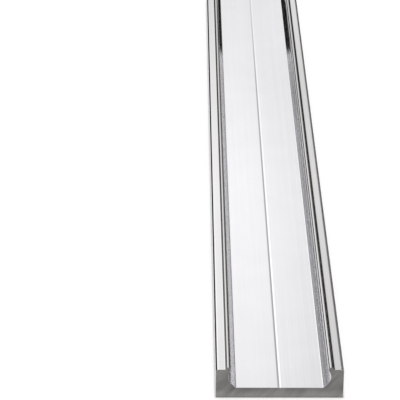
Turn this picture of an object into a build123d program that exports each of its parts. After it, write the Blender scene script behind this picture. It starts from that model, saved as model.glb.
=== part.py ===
from build123d import *
import os
from math import cos, radians, sin, sqrt, tan

# Linear guide rail: one length of extruded aluminium channel, sawn square at both ends.
# It lies on its back with the channel open upwards: X across, Y along, Z up, in millimetres.
# The origin is the middle of the back face.

# Overall size of the length of stock
rail_length = 500.0
rail_width = 56.0
web_thickness = 5.0
back_edge_radius = 0.5

# Slope from the channel floor up into each raceway
slope_angle = 47.0
slope_rise = 1.95
floor_blend_radius = 0.6

# Raceway: a round hollow along the inner side of each leg, as for a 10 mm shaft or row of balls
raceway_radius = 5.0
raceway_depth = 1.1

# Lip above each raceway: a short upright nose, a half-round bead, and a flat land outside it
nose_height = 0.45
nose_edge_radius = 0.2
bead_radius = 1.15
bead_root_radius = 0.6
land_width = 4.45

# Outer edge of each land: a narrow sloping flat, rounded over onto the land and eased into the leg's outside
land_edge_width = 0.95
land_edge_drop = 0.7
land_round_radius = 1.2
land_edge_radius = 0.2

# V-shaped marking lines: a shallow one along the middle of the channel floor, two along the back
floor_mark_width = 1.5
floor_mark_depth = 0.14
back_mark_width = 0.6
back_mark_depth = 0.15
back_mark_spacing = 21.0

# Places across the section, from the middle plane outwards
half_width = rail_width / 2
bead_outer_x = half_width - land_width
bead_x = bead_outer_x - bead_radius
nose_x = bead_x - bead_radius
land_edge_x = half_width - land_edge_width
raceway_x = nose_x + raceway_depth - raceway_radius
slope_top_x = raceway_x + raceway_radius * sin(radians(slope_angle))
floor_edge_x = slope_top_x - slope_rise / tan(radians(slope_angle))
back_mark_x = back_mark_spacing / 2

# Heights in the section, stacked up from the back face: web, slope, raceway, nose, land
slope_top_z = web_thickness + slope_rise
raceway_z = slope_top_z + raceway_radius * cos(radians(slope_angle))
nose_z = raceway_z + sqrt(raceway_radius**2 - (nose_x - raceway_x) ** 2)
land_z = nose_z + nose_height
land_edge_z = land_z - land_edge_drop

with BuildPart() as guide_rail:
    # Half of the section, from the floor line out over one leg and back along the back face
    with BuildSketch(Plane.XZ) as section:
        with BuildLine():
            Polyline(
                (0, web_thickness - floor_mark_depth),
                (floor_mark_width / 2, web_thickness),
                (floor_edge_x, web_thickness),
                (slope_top_x, slope_top_z),
            )
            ThreePointArc(
                (slope_top_x, slope_top_z),
                (raceway_x + raceway_radius, raceway_z),
                (nose_x, nose_z),
            )
            Line((nose_x, nose_z), (nose_x, land_z))
            ThreePointArc(
                (nose_x, land_z),
                (bead_x, land_z + bead_radius),
                (bead_outer_x, land_z),
            )
            Polyline(
                (bead_outer_x, land_z),
                (land_edge_x, land_z),
                (half_width, land_edge_z),
                (half_width, 0),
                (back_mark_x + back_mark_width / 2, 0),
                (back_mark_x, back_mark_depth),
                (back_mark_x - back_mark_width / 2, 0),
                (0, 0),
                (0, web_thickness - floor_mark_depth),
            )
        make_face()
        # Corners that the die rounds, each with its own radius
        for corner, radius in (
            ((floor_edge_x, web_thickness), floor_blend_radius),
            ((nose_x, nose_z), nose_edge_radius),
            ((bead_outer_x, land_z), bead_root_radius),
            ((land_edge_x, land_z), land_round_radius),
            ((half_width, land_edge_z), land_edge_radius),
            ((half_width, 0), back_edge_radius),
        ):
            fillet(section.vertices().sort_by_distance(corner)[0], radius)
        mirror(about=Plane.YZ)
    extrude(amount=rail_length / 2, both=True)

guide_rail.part.label = "guide_rail"
os.makedirs("parts", exist_ok=True)
export_step(guide_rail.part, "parts/guide_rail.step")
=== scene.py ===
import bpy
import numpy as np
from mathutils import Matrix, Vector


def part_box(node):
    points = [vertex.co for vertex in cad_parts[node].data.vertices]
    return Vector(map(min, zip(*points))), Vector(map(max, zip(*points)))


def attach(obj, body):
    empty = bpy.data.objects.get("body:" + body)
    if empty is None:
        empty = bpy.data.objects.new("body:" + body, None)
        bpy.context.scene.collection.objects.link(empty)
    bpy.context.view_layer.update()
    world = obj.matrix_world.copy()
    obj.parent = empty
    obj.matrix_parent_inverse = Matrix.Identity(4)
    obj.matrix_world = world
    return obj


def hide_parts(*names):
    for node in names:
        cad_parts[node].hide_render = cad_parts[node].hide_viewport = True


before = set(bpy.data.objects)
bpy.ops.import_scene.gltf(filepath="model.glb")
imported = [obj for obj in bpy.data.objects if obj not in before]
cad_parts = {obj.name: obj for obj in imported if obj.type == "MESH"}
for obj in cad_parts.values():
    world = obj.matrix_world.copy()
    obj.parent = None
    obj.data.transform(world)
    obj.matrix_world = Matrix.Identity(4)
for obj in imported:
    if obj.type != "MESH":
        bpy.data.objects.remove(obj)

scene = bpy.context.scene
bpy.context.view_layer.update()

# Rail. One length of aluminium channel pushed hot through a die, so every line on its skin runs lengthwise.
# A circular saw cut both ends square and left shallow arcs across them, and a file broke the edges there.
# Sizes are those of the part's source, in metres: X across, Y along, Z up from the back face.
rail_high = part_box("guide_rail")[1]
half_width = rail_high.x
half_length = rail_high.y
web = 0.005
slope = np.radians(47.0)
slope_rise = 0.00195
floor_blend = 0.0006
raceway = 0.005
raceway_depth = 0.0011
nose_height = 0.00045
nose_edge = 0.0002
bead = 0.00115
bead_root = 0.0006
land = 0.00445
land_round = 0.0012
edge_round = 0.0002
back_edge = 0.0005
back_mark_x = 0.0105

# Width and depth of the land's sloping outer edge, of the line along the floor and of the two along the back
edge_flat = np.array([0.00095, 0.0007])
floor_mark = np.array([0.0015, 0.00014])
back_mark = np.array([0.0006, 0.00015])

bead_x = half_width - land - bead
nose_x = bead_x - bead
raceway_x = nose_x + raceway_depth - raceway
slope_top = np.array([raceway_x + raceway * np.sin(slope), web + slope_rise])
floor_edge_x = slope_top[0] - slope_rise / np.tan(slope)
raceway_z = slope_top[1] + raceway * np.cos(slope)
land_z = raceway_z + np.sqrt(raceway**2 - (nose_x - raceway_x) ** 2) + nose_height

# Centres of the blends, and the angles at which they run into their neighbours
blend_x = floor_edge_x - floor_blend * np.tan(slope / 2)
nose_blend_x = nose_x + nose_edge
nose_blend_z = raceway_z + np.sqrt((raceway + nose_edge) ** 2 - (nose_blend_x - raceway_x) ** 2)
nose_turn = np.arctan2(nose_blend_z - raceway_z, nose_blend_x - raceway_x)
root_blend_x = bead_x + np.sqrt((bead + bead_root) ** 2 - bead_root**2)
root_turn = np.arctan2(bead_root, root_blend_x - bead_x)
flat_turn = np.arctan2(edge_flat[0], edge_flat[1])
flat_out = np.array([np.cos(flat_turn), np.sin(flat_turn)])
flat_low = np.array([
    half_width - edge_round,
    land_z - edge_flat[1] - edge_round * np.tan(flat_turn / 2),
])
flat_high = np.array([
    half_width - edge_flat[0] - land_round * np.tan(np.pi / 4 - flat_turn / 2),
    land_z - land_round,
])


def straight(first, last, count):
    """Points on a line: first + (last - first) * share, for count even shares, from 0 to just before 1."""
    share = np.arange(count)[:, None] / count
    return np.asarray(first) + (np.asarray(last) - np.asarray(first)) * share


def rounded(centre, radius, first, last, count):
    """Points on an arc: centre + radius * (cos, sin) of count even angles, from first to just before last."""
    turn = first + (last - first) * np.arange(count) / count
    return np.asarray(centre) + radius * np.column_stack([np.cos(turn), np.sin(turn)])


# Right half of the channel side, from the bottom of the floor line out and up to the top of the bead.
# At foot_turn the raceway stands across the leg from the foot of its outside.
quarter = np.pi / 2
foot_turn = -np.pi / 9
channel = np.concatenate([
    straight((0, web - floor_mark[1]), (floor_mark[0] / 2, web), 5),
    straight((floor_mark[0] / 2, web), (blend_x, web), 88),
    rounded((blend_x, web + floor_blend), floor_blend, -quarter, slope - quarter, 8),
    straight((blend_x + floor_blend * np.sin(slope), web + floor_blend * (1 - np.cos(slope))), slope_top, 16),
    rounded((raceway_x, raceway_z), raceway, slope - quarter, foot_turn, 12),
    rounded((raceway_x, raceway_z), raceway, foot_turn, nose_turn, 26),
    rounded((nose_blend_x, nose_blend_z), nose_edge, nose_turn + np.pi, np.pi, 6),
    straight((nose_x, nose_blend_z), (nose_x, land_z), 4),
    rounded((bead_x, land_z), bead, np.pi, quarter, 14),
    [(bead_x, land_z + bead)],
])

# Right half of the outside, from the middle of the back out and up to the land, with as many points
wall_foot = (half_width, back_edge)
wall_top = (half_width, flat_low[1])
mark_in = back_mark_x - back_mark[0] / 2
mark_out = back_mark_x + back_mark[0] / 2
outside = np.concatenate([
    straight((0, 0), (floor_mark[0] / 2, 0), 5),
    straight((floor_mark[0] / 2, 0), (mark_in, 0), 46),
    straight((mark_in, 0), (back_mark_x, back_mark[1]), 3),
    straight((back_mark_x, back_mark[1]), (mark_out, 0), 3),
    straight((mark_out, 0), (blend_x, 0), 36),
    straight((blend_x, 0), (half_width - back_edge, 0), 24),
    rounded((half_width - back_edge, back_edge), back_edge, -quarter, 0, 12),
    straight(wall_foot, wall_top, 36),
    rounded(flat_low, edge_round, 0, flat_turn, 4),
    straight(flat_low + edge_round * flat_out, flat_high + land_round * flat_out, 4),
    rounded(flat_high, land_round, flat_turn, quarter, 6),
    [(flat_high[0], land_z)],
])

# The lip between the two, from the land's outer edge in to the top of the bead
lip = np.concatenate([
    straight((flat_high[0], land_z), (root_blend_x, land_z), 14),
    rounded((root_blend_x, land_z + bead_root), bead_root, 3 * quarter, root_turn + np.pi, 5),
    rounded((bead_x, land_z), bead, root_turn, quarter, 12),
    [(bead_x, land_z + bead)],
])


def sawn_face(outside, channel, lip, lip_start):
    """Points (x, z) over the sawn section: u runs from the middle to the lip, v from the outside in.

    Each point is outside + (channel - outside) * v. Past u = lip_start it is drawn off that straight line by
    the lip's own distance from it, times the root of the share of the way to the lip. The left half is the
    right half mirrored.
    """
    v = np.linspace(0, 1, len(lip))[None, :, None]
    u = np.linspace(0, 1, len(channel))[:, None, None]
    half = outside[:, None] + (channel - outside)[:, None] * v
    near_lip = np.clip((u - lip_start) / (1 - lip_start), 0, 1) ** 0.5
    half = half + near_lip * (lip - half[-1])
    return np.concatenate([half[:0:-1] * [-1, 1], half])


face = sawn_face(outside, channel, lip, lip_start=0.72)
wide, deep = face.shape[:2]


def rim(grid):
    """A grid's edges in one ring: over the left lip, along the channel, over the right lip, round the back.

    These are the first row, the last column, the last row backwards and the first column backwards.
    """
    return np.concatenate([grid[0], grid[1:, -1], grid[-1, -2::-1], grid[-2:0:-1, 0]])


# Die lines, a thousandth of a millimetre or two deep, the same all along the length. Each row is how many go
# round the ring, how deep they are, and where they start. The skin is drawn in so that none stands proud.
die_lines = ((41, 1.0e-6, 0.7), (97, 0.6e-6, 2.1), (173, 0.3e-6, 0.0))
drawn_in = 2.0e-6
ring = rim(face)
step = np.roll(ring, -1, axis=0) - np.roll(ring, 1, axis=0)
outward = np.column_stack([-step[:, 1], step[:, 0]]) / np.hypot(step[:, 0], step[:, 1])[:, None]
run = np.cumsum(np.hypot(*(ring - np.roll(ring, 1, axis=0)).T))
turns = 2 * np.pi * run / run[-1]
line_height = sum(depth * np.sin(number * turns + start) for number, depth, start in die_lines)
ring = ring + outward * (line_height - drawn_in)[:, None]

# Broken edge at both ends: the last ring is drawn in by the width of the file stroke
broken_edge = 0.00009
inner_ring = ring - outward * broken_edge

# Saw marks: arcs round the blade's axis, which stood high on the left of the near end and low on the right of
# the far end. Each row is a wave's share of the depth, its length over one radian, and where it starts.
blade = np.array([-0.146, 0.137])
saw_depth = 7e-6
saw_waves = ((0.5, 0.00018, 0.0), (0.3, 0.00031, 1.0), (0.2, 0.00077, 2.0))


def saw_marks(points, blade):
    """Depth below the end face: saw_depth * (1 + the waves of the distance from the blade's axis).

    The waves' shares add up to 1, so no mark stands above the face.
    """
    reach = np.hypot(points[..., 0] - blade[0], points[..., 1] - blade[1])
    wave = sum(share * np.sin(reach / length + start) for share, length, start in saw_waves)
    return saw_depth * (1 + wave)


# Skin: the ring carried along the length, with the broken edge at both ends
rings_along = 24
near_y = -half_length + saw_marks(inner_ring, blade)
far_y = half_length - saw_marks(inner_ring, -blade)
along = np.linspace(-half_length + broken_edge, half_length - broken_edge, rings_along)
rings = np.concatenate([inner_ring[None], np.repeat(ring[None], rings_along, axis=0), inner_ring[None]])
skin_y = np.concatenate([near_y[None], np.repeat(along[:, None], len(ring), axis=1), far_y[None]])
skin = np.stack([rings[..., 0], skin_y, rings[..., 1]], axis=-1)

# The two sawn faces inside the rings
inside = face[1:-1, 1:-1]
near_face = np.stack([inside[..., 0], -half_length + saw_marks(inside, blade), inside[..., 1]], axis=-1)
far_face = np.stack([inside[..., 0], half_length - saw_marks(inside, -blade), inside[..., 1]], axis=-1)


def quads(grid):
    """Four corners of each cell of a grid of vertex numbers, in order round the cell."""
    return np.stack([grid[:-1, :-1], grid[1:, :-1], grid[1:, 1:], grid[:-1, 1:]], axis=-1).reshape(-1, 4)


def face_grid(ring_numbers, first_inside):
    """Vertex numbers over a sawn face: the skin's end ring at its edges, and the face's own points inside."""
    grid = np.zeros((wide, deep), dtype=int)
    grid[1:-1, 1:-1] = first_inside + np.arange((wide - 2) * (deep - 2)).reshape(wide - 2, deep - 2)
    grid[0] = ring_numbers[:deep]
    grid[1:, -1] = ring_numbers[deep:deep + wide - 1]
    grid[-1, -2::-1] = ring_numbers[deep + wide - 1:2 * deep + wide - 2]
    grid[-2:0:-1, 0] = ring_numbers[2 * deep + wide - 2:]
    return grid


skin_numbers = np.arange(skin.shape[0] * len(ring)).reshape(-1, len(ring))
closed = np.concatenate([skin_numbers, skin_numbers[:, :1]], axis=1)
skin_quads = quads(closed.T)
near_quads = quads(face_grid(skin_numbers[0], skin_numbers.size))
far_quads = quads(face_grid(skin_numbers[-1], skin_numbers.size + inside.shape[0] * inside.shape[1]))[:, ::-1]
vertices = np.concatenate([skin.reshape(-1, 3), near_face.reshape(-1, 3), far_face.reshape(-1, 3)])
polygons = np.concatenate([skin_quads, near_quads, far_quads])
sharp_corner = np.radians(24.0)
rail_mesh = bpy.data.meshes.new("rail")
rail_mesh.from_pydata(vertices, [], polygons)
rail_mesh.shade_smooth()
rail_mesh.set_sharp_from_angle(angle=sharp_corner)
sawn = np.zeros(len(polygons), dtype=np.int32)
sawn[len(skin_quads):] = 1

# Swarf from the saw dulled the raceways by each end: 1 in the hollow there, fading to 0 by the next ring in
out, end, level = abs(vertices[:, 0]), abs(vertices[:, 1]), vertices[:, 2]
in_hollow = (out > slope_top[0]) & (out < bead_x) & (level > slope_top[1]) & (level < nose_blend_z)
dulled = in_hollow & (end > half_length - 2 * broken_edge)
rail_mesh.attributes.new("dulled", "FLOAT", "POINT").data.foreach_set("value", dulled.astype(np.float32))
rail = bpy.data.objects.new("rail", rail_mesh)
scene.collection.objects.link(rail)


def shared_effect(name, inputs, output):
    """An empty node group with named sockets: the group, the values given to it, and its result's socket."""
    group = bpy.data.node_groups.new(name, "ShaderNodeTree")
    for socket, kind in inputs.items():
        group.interface.new_socket(socket, in_out="INPUT", socket_type=kind)
    group.interface.new_socket(output, in_out="OUTPUT", socket_type="NodeSocketFloat")
    given = group.nodes.new("NodeGroupInput")
    result = group.nodes.new("NodeGroupOutput")
    return group, given.outputs, result.inputs[output]


def feed(tree, value, socket):
    """Gives a socket its value: another node's output is linked to it, a number or colour is set on it."""
    if isinstance(value, bpy.types.NodeSocket):
        tree.links.new(value, socket)
    else:
        socket.default_value = value


def rise(tree, value, first, last, low=0.0, high=1.0, curve="LINEAR"):
    """Low where value is at or under first, high where it is at or over last, and an even climb between."""
    node = tree.nodes.new("ShaderNodeMapRange")
    node.interpolation_type = curve
    feed(tree, value, node.inputs["Value"])
    feed(tree, first, node.inputs["From Min"])
    feed(tree, last, node.inputs["From Max"])
    feed(tree, low, node.inputs["To Min"])
    feed(tree, high, node.inputs["To Max"])
    return node.outputs["Result"]


def combined(tree, x, y, z=0.0):
    """A vector of three values."""
    node = tree.nodes.new("ShaderNodeCombineXYZ")
    for value, socket in zip((x, y, z), node.inputs):
        feed(tree, value, socket)
    return node.outputs["Vector"]


def vector_sum(tree, operation, *values):
    """One sum on vectors: MULTIPLY, SUBTRACT and ABSOLUTE give a vector, DOT_PRODUCT gives a number."""
    node = tree.nodes.new("ShaderNodeVectorMath")
    node.operation = operation
    for value, socket in zip(values, node.inputs):
        feed(tree, value, socket)
    return node.outputs["Value" if operation == "DOT_PRODUCT" else "Vector"]


# Lines left by a tool: noise drawn out along Y, fine and broad, for the die's lines and for the saw's.
# Noise keeps close to its middle, so both effects stretch the part that it uses.
noise_used = (0.3, 0.7)
tool_lines, given, result = shared_effect(
    "tool_lines",
    {"Vector": "NodeSocketVector", "Across": "NodeSocketFloat", "Along": "NodeSocketFloat"},
    "Lines",
)
density = combined(tool_lines, given["Across"], given["Along"], given["Across"])
grain = tool_lines.nodes.new("ShaderNodeTexNoise")
grain.inputs["Scale"].default_value = 1.0
grain.inputs["Detail"].default_value = 2.0
grain.inputs["Roughness"].default_value = 0.55
feed(tool_lines, vector_sum(tool_lines, "MULTIPLY", given["Vector"], density), grain.inputs["Vector"])
feed(tool_lines, rise(tool_lines, grain.outputs["Fac"], *noise_used), result)

# Marks of handling: soft clouds of touched and untouched metal, on the skin and on the sawn ends
touch_marks, given, result = shared_effect(
    "touch_marks",
    {"Vector": "NodeSocketVector", "Density": "NodeSocketFloat"},
    "Marks",
)
clouds = touch_marks.nodes.new("ShaderNodeTexNoise")
clouds.inputs["Detail"].default_value = 3.0
feed(touch_marks, given["Vector"], clouds.inputs["Vector"])
feed(touch_marks, given["Density"], clouds.inputs["Scale"])
feed(touch_marks, rise(touch_marks, clouds.outputs["Fac"], *noise_used), result)


def laid(tree, effect, **values):
    """The result of a shared effect, placed in a material with that material's own values."""
    node = tree.nodes.new("ShaderNodeGroup")
    node.node_tree = effect
    for name, value in values.items():
        feed(tree, value, node.inputs[name])
    return node.outputs[0]


def axes(tree, vector):
    """The X, Y and Z parts of a vector."""
    node = tree.nodes.new("ShaderNodeSeparateXYZ")
    feed(tree, vector, node.inputs["Vector"])
    return node.outputs


def reckoned(tree, operation, *values):
    """One sum on numbers, such as MULTIPLY (a * b), MULTIPLY_ADD (a * b + c) or MAXIMUM."""
    node = tree.nodes.new("ShaderNodeMath")
    node.operation = operation
    for value, socket in zip(values, node.inputs):
        feed(tree, value, socket)
    return node.outputs["Value"]


def mixed(tree, share, first, second):
    """A number: first where share is 0, second where it is 1."""
    node = tree.nodes.new("ShaderNodeMix")
    feed(tree, share, node.inputs["Factor"])
    feed(tree, first, node.inputs["A"])
    feed(tree, second, node.inputs["B"])
    return node.outputs["Result"]


def tinted(tree, share, first, second, blend="MIX"):
    """A colour: first where share is 0, and where it is 1 second, or first * second if blend is MULTIPLY."""
    node = tree.nodes.new("ShaderNodeMix")
    node.data_type = "RGBA"
    node.blend_type = blend
    feed(tree, share, node.inputs["Factor"])
    feed(tree, first, node.inputs["A"])
    feed(tree, second, node.inputs["B"])
    return node.outputs["Result"]


# Mill finish: bright bare aluminium, a little hazy in broad lengthwise bands, with fine die lines that spread
# a reflection sideways. The lips, which hands and carriages touch, are smoother and greyer. The beads are
# made greyer still, and the upright outside of the legs is darkened with painted shade that stands in for a
# dark reflection there. The right outer edge is scuffed.
clear_tone = (0.877, 0.872, 0.899, 1.0)
hazy_tone = (0.927, 0.922, 0.95, 1.0)
smudge_tint = (0.975, 0.975, 0.965, 1.0)
lip_tint = (0.87, 0.865, 0.845, 1.0)
# The next tint greys the bead tops and darkens the legs' upright outside with painted shade
bead_grey_and_wall_shade_tint = (0.76, 0.755, 0.745, 1.0)
lip_fade = 0.001
mill_roughness = (0.12, 0.15)
lip_smoothing = 0.65
scoured_roughness = 0.36
scuffed_roughness = 0.3
die_line_relief = 0.00001
mill = bpy.data.materials.new("mill_finish")
mill.use_nodes = True
tree = mill.node_tree
shader = tree.nodes["Principled BSDF"]
shader.inputs["Metallic"].default_value = 1.0
shader.inputs["Anisotropic"].default_value = 0.85
sideways = tree.nodes.new("ShaderNodeTangent")
sideways.direction_type = "RADIAL"
sideways.axis = "Y"
feed(tree, sideways.outputs["Tangent"], shader.inputs["Tangent"])

# Where on the section each kind of wear, greying and painted shade lies
place = tree.nodes.new("ShaderNodeTexCoord").outputs["Object"]
across, _, height = axes(tree, place)
handled = rise(tree, height, nose_blend_z - lip_fade, nose_blend_z)
crown = rise(tree, height, land_z, land_z + bead_root)
from_middle = reckoned(tree, "ABSOLUTE", across)
# Painted shade: the upright outside of the legs, darkened to stand in for the dark reflection it shows
side = rise(tree, from_middle, half_width - 2 * broken_edge, half_width - broken_edge)
grey_beads_and_wall_shade = reckoned(tree, "MAXIMUM", crown, side)
edge = rise(tree, across, flat_high[0] - edge_round, flat_high[0] + edge_round)
swarf = tree.nodes.new("ShaderNodeAttribute")
swarf.attribute_name = "dulled"

# Its colour, its roughness and its relief
bands = laid(tree, tool_lines, Vector=place, Across=260.0, Along=3.0)
lines = laid(tree, tool_lines, Vector=place, Across=2200.0, Along=5.0)
touched = laid(tree, touch_marks, Vector=place, Density=55.0)
tone = tinted(tree, bands, clear_tone, hazy_tone)
tone = tinted(tree, touched, tone, smudge_tint, "MULTIPLY")
tone = tinted(tree, handled, tone, lip_tint, "MULTIPLY")
# Bead tops made greyer, and painted shade on the upright outside of the legs
tone = tinted(tree, grey_beads_and_wall_shade, tone, bead_grey_and_wall_shade_tint, "MULTIPLY")
feed(tree, tone, shader.inputs["Base Color"])
haze = rise(tree, bands, 0.0, 1.0, *mill_roughness)
rubbed = rise(tree, handled, 0.0, 1.0, 1.0, lip_smoothing)
gloss = reckoned(tree, "MULTIPLY", haze, rubbed)
gloss = mixed(tree, swarf.outputs["Fac"], gloss, scoured_roughness)
gloss = mixed(tree, edge, gloss, scuffed_roughness)
feed(tree, gloss, shader.inputs["Roughness"])
relief = tree.nodes.new("ShaderNodeBump")
relief.inputs["Strength"].default_value = 0.08
relief.inputs["Distance"].default_value = die_line_relief
feed(tree, lines, relief.inputs["Height"])
feed(tree, relief.outputs["Normal"], shader.inputs["Normal"])
rail_mesh.materials.append(mill)

# Sawn end: torn, matt aluminium, its colour darkened all over with painted shade, banded by strokes across
# the line to the blade's axis, and paler towards the back face, fully below the first height and not at all
# above the second
# Both tones are painted shade, far darker than bare aluminium, for the half shade the sawn end lies in
sawn_shade_tone = (0.141, 0.137, 0.132, 1.0)
sawn_pale_shade_tone = (0.310, 0.305, 0.297, 1.0)
stroke_across = (0.73, 0.0, -0.683)
stroke_along = (0.683, 0.0, 0.73)
paler_heights = (0.0012, 0.0042)
paler_share = 0.56
stroke_share = 0.56
touch_share = 0.26
cut = bpy.data.materials.new("sawn_end")
cut.use_nodes = True
tree = cut.node_tree
shader = tree.nodes["Principled BSDF"]
shader.inputs["Metallic"].default_value = 1.0
shader.inputs["Roughness"].default_value = 0.48
place = tree.nodes.new("ShaderNodeTexCoord").outputs["Object"]
swing = combined(
    tree,
    vector_sum(tree, "DOT_PRODUCT", place, stroke_across),
    vector_sum(tree, "DOT_PRODUCT", place, stroke_along),
)
strokes = laid(tree, tool_lines, Vector=swing, Across=420.0, Along=70.0)
touched = laid(tree, touch_marks, Vector=place, Density=130.0)
# Paler low on the face, by height alone
foot = rise(tree, axes(tree, place)["Z"], *paler_heights, paler_share, 0.0)
paler = reckoned(tree, "MULTIPLY_ADD", strokes, stroke_share, foot)
paler = reckoned(tree, "MULTIPLY_ADD", touched, touch_share, paler)
# The painted-shade tones, mixed by the saw strokes, the handling marks and the height
feed(tree, tinted(tree, paler, sawn_shade_tone, sawn_pale_shade_tone), shader.inputs["Base Color"])
rail_mesh.materials.append(cut)
rail_mesh.polygons.foreach_set("material_index", sawn)
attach(rail, "root")
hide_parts("guide_rail")

# Floor. A plain sheet of pale matt board, flat under the rail and drooping a little all round it.
# It holds the rail's soft shadow, which is deepest close along the rail's foot. Further out it looks white
# to the camera and in reflections.
board_reach = 12.0
board_lines = 161
crowding = 6.0
flat_part = (0.04, 0.26)
droop = np.tan(np.radians(5.5))
droop_bend = 0.03
board_grey = (0.82, 0.82, 0.82, 1.0)

# How far out from the rail's foot the board is fully white, and the glow that whitens it
white_from = 0.0010
white_lift = 0.55
share = np.linspace(-1, 1, board_lines)
lines_at = np.sinh(crowding * share) / np.sinh(crowding) * board_reach
floor_x, floor_y = np.meshgrid(lines_at, lines_at, indexing="ij")
past_flat = np.hypot(
    np.clip(abs(floor_x) - flat_part[0], 0, None),
    np.clip(abs(floor_y) - flat_part[1], 0, None),
)
floor_z = -droop * (np.hypot(past_flat, droop_bend) - droop_bend)
floor_points = np.stack([floor_x, floor_y, floor_z], axis=-1).reshape(-1, 3)
floor_mesh = bpy.data.meshes.new("floor")
floor_mesh.from_pydata(floor_points, [], quads(np.arange(floor_x.size).reshape(floor_x.shape)))
floor_mesh.shade_smooth()
floor = bpy.data.objects.new("floor", floor_mesh)
scene.collection.objects.link(floor)
board = bpy.data.materials.new("board")
board.use_nodes = True
tree = board.node_tree
shader = tree.nodes["Principled BSDF"]
shader.inputs["Base Color"].default_value = board_grey
shader.inputs["Roughness"].default_value = 0.9
shader.inputs["Specular IOR Level"].default_value = 0.0
shader.inputs["Emission Color"].default_value = (1.0, 1.0, 1.0, 1.0)
rays = tree.nodes.new("ShaderNodeLightPath").outputs
seen = reckoned(tree, "MAXIMUM", rays["Is Camera Ray"], rays["Is Glossy Ray"])
seen = reckoned(tree, "MAXIMUM", seen, rays["Is Transmission Ray"])
place = tree.nodes.new("ShaderNodeTexCoord").outputs["Object"]
from_middle = vector_sum(tree, "ABSOLUTE", place)
from_foot = axes(tree, vector_sum(tree, "SUBTRACT", from_middle, (half_width, half_length, 0.0)))
clear = reckoned(tree, "MAXIMUM", from_foot["X"], from_foot["Y"])
white = rise(tree, clear, -back_edge, white_from, 0.0, white_lift, curve="SMOOTHSTEP")
feed(tree, reckoned(tree, "MULTIPLY", seen, white), shader.inputs["Emission Strength"])
floor_mesh.materials.append(board)

# Light. A long white panel hangs over the rail, inside a pale dome of soft light with a dark gap along the
# horizon. Ahead of the camera dark flags stand on both sides of the panel, nearer on the right, and they open
# there further ahead. The dome is dimmer on the camera's side, so the sawn end stays in half shade.
world = bpy.data.worlds.new("studio")
scene.world = world
world.use_nodes = True
tree = world.node_tree
sky = tree.nodes["Background"]
towards = tree.nodes.new("ShaderNodeTexCoord").outputs["Generated"]
sideward, ahead, up = axes(tree, towards)
clock = reckoned(tree, "DEGREES", reckoned(tree, "ARCTAN2", sideward, up))


def graded(tree, value, first, last, steps):
    """Grey levels read off a value that runs from first to last: each step is a place on it and its level."""
    node = tree.nodes.new("ShaderNodeValToRGB")
    node.color_ramp.interpolation = "EASE"
    while len(node.color_ramp.elements) < len(steps):
        node.color_ramp.elements.new(0.5)
    for element, (stop, grey) in zip(node.color_ramp.elements, steps):
        element.position = (stop - first) / (last - first)
        element.color = (grey, grey, grey, 1.0)
    feed(tree, rise(tree, value, first, last), node.inputs["Fac"])
    return node.outputs["Color"]


# The dome's levels run from the horizon (0) to overhead (1), the flags' by the clock, in degrees from
# overhead: left below 0, right above 0. The flags change from high to low ahead, and again for the far end.
dome = graded(tree, up, 0.0, 1.0, (
    (0.0, 0.01), (0.12, 0.01), (0.20, 0.42), (0.29, 0.70), (0.37, 0.84),
    (0.43, 0.97), (0.47, 0.95), (0.53, 0.85), (0.65, 0.82), (0.85, 0.84),
))
flags_high = graded(tree, clock, -90.0, 90.0, (
    (-90, 0.02), (-72, 0.03), (-58, 1.1), (-36, 1.3), (-18, 1.15), (-9, 1.0), (-2, 0.93), (2, 0.93),
    (5.5, 0.98), (8.5, 0.72), (11, 0.48), (30, 0.38), (36, 0.28), (44, 0.03), (60, 0.02), (90, 0.02),
))
flags_low = graded(tree, clock, -90.0, 90.0, (
    (-90, 0.02), (-70, 0.03), (-56, 1.0), (-34, 1.18), (-18, 1.1), (-9, 1.04), (-2, 1.02), (2, 1.0),
    (5.5, 0.97), (8.5, 0.80), (11, 0.62), (30, 0.46), (45, 0.36), (60, 0.24), (75, 0.10), (90, 0.02),
))
flags_far = graded(tree, clock, -90.0, 90.0, (
    (-90, 0.02), (-70, 0.03), (-56, 1.0), (-34, 1.18), (-18, 1.1), (-9, 1.0), (-2, 0.93), (2, 0.92),
    (5.5, 0.98), (8.5, 0.97), (11, 0.92), (30, 0.85), (40, 0.6), (50, 0.36), (60, 0.24), (75, 0.1),
    (90, 0.02),
))

# Each pair says how directly ahead the change begins and ends, where 1 is level and straight ahead
flags_begin = (0.70, 0.84)
low_begins = (0.87, 0.935)
far_begins = (0.924, 0.937)
dome_brightens = (-0.5, 0.3)
unflagged = 0.78
dim, bright = 0.92, 1.18
flags = mixed(tree, rise(tree, ahead, *low_begins, curve="SMOOTHSTEP"), flags_high, flags_low)
flags = mixed(tree, rise(tree, ahead, *far_begins, curve="SMOOTHSTEP"), flags, flags_far)
panel = mixed(tree, rise(tree, ahead, *flags_begin, curve="SMOOTHSTEP"), unflagged, flags)
lit = reckoned(tree, "MULTIPLY", panel, rise(tree, ahead, *dome_brightens, dim, bright, curve="SMOOTHSTEP"))

# Past the floor's edge the camera itself sees plain white
to_camera = tree.nodes.new("ShaderNodeLightPath").outputs["Is Camera Ray"]
feed(tree, mixed(tree, to_camera, lit, 1.0), sky.inputs["Strength"])
feed(tree, tinted(tree, to_camera, dome, (1.0, 1.0, 1.0, 1.0)), sky.inputs["Color"])

# Camera. It stands about a metre from the near end and looks along the rail from a little to its left, about
# 25 degrees down, through a long lens.
stand = (-0.04136, -1.08313, 0.49191)
pitch, yaw, roll = np.radians([25.43, -0.424, 0.285])
camera_data = bpy.data.cameras.new("camera")
camera_data.sensor_width = 36.0
camera_data.lens = 198.0
camera = bpy.data.objects.new("camera", camera_data)
scene.collection.objects.link(camera)
scene.camera = camera
turned = (
    Matrix.Rotation(yaw, 3, "Z") @ Matrix.Rotation(np.pi / 2 - pitch, 3, "X") @ Matrix.Rotation(roll, 3, "Z")
)
camera.matrix_world = Matrix.Translation(stand) @ turned.to_4x4()

scene.view_settings.view_transform = "Standard"
